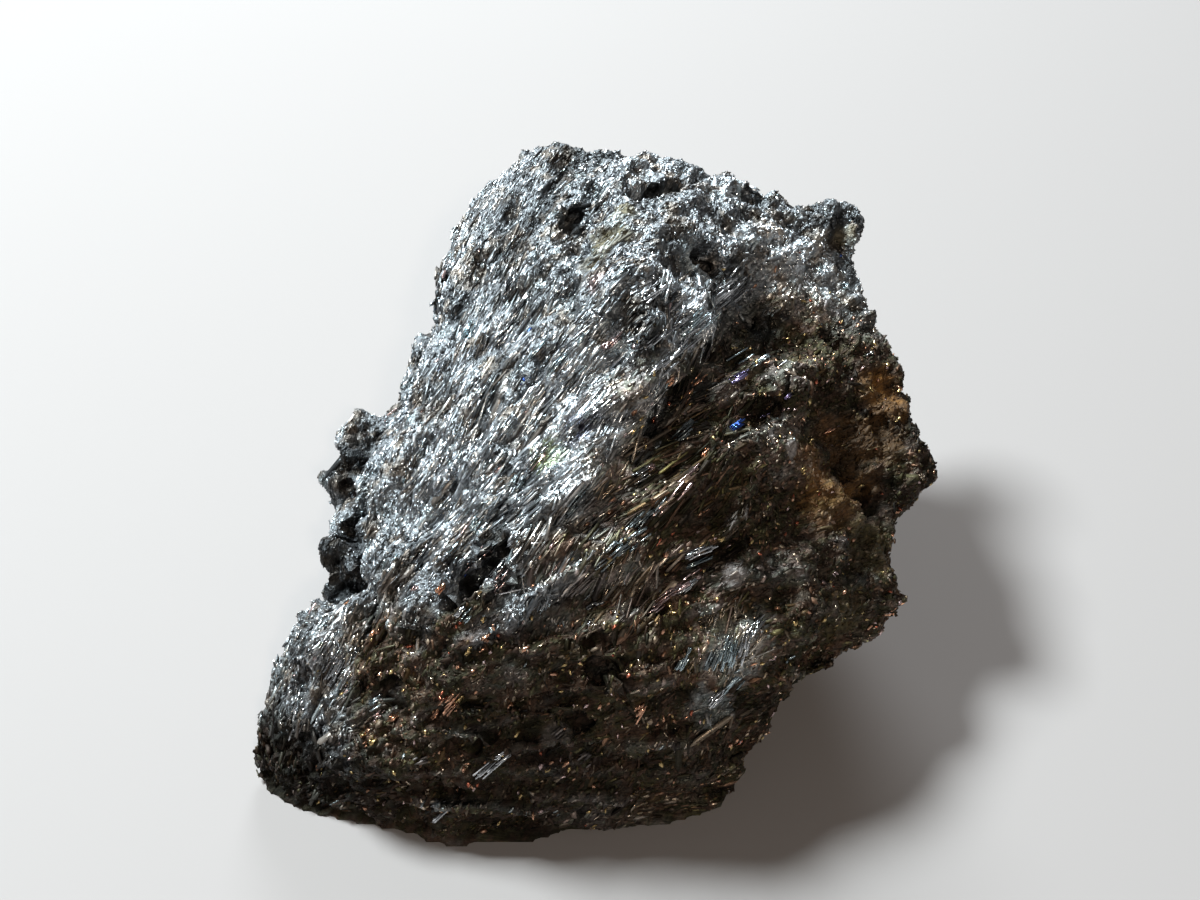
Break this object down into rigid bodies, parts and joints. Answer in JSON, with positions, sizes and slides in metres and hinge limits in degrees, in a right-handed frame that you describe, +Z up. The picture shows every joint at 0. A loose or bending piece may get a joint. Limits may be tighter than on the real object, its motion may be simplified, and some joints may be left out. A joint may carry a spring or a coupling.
{
  "type": "stibnite crystal spray",
  "caption": "Massive hand specimen of stibnite, a broken block of fine fibres and flat blades fanning from one low end, with pits, ledges and a knob, resting on a flat broken face.",
  "frame": {"origin": "centre of the bounding box in plan, on the resting plane", "axes": "+Z up from the resting face; the crystals fan from the low end at -X -Y towards +X, +Y and +Z; the pictured side faces -Y"},
  "size_m": [0.0472, 0.049, 0.0303],
  "materials": {
    "stibnite": "metallic lead-grey fibres with brown tarnish and ochre stains"
  },
  "bodies": {
    "root": {"stibnite_spray": "stibnite"}
  },
  "joints": []
}
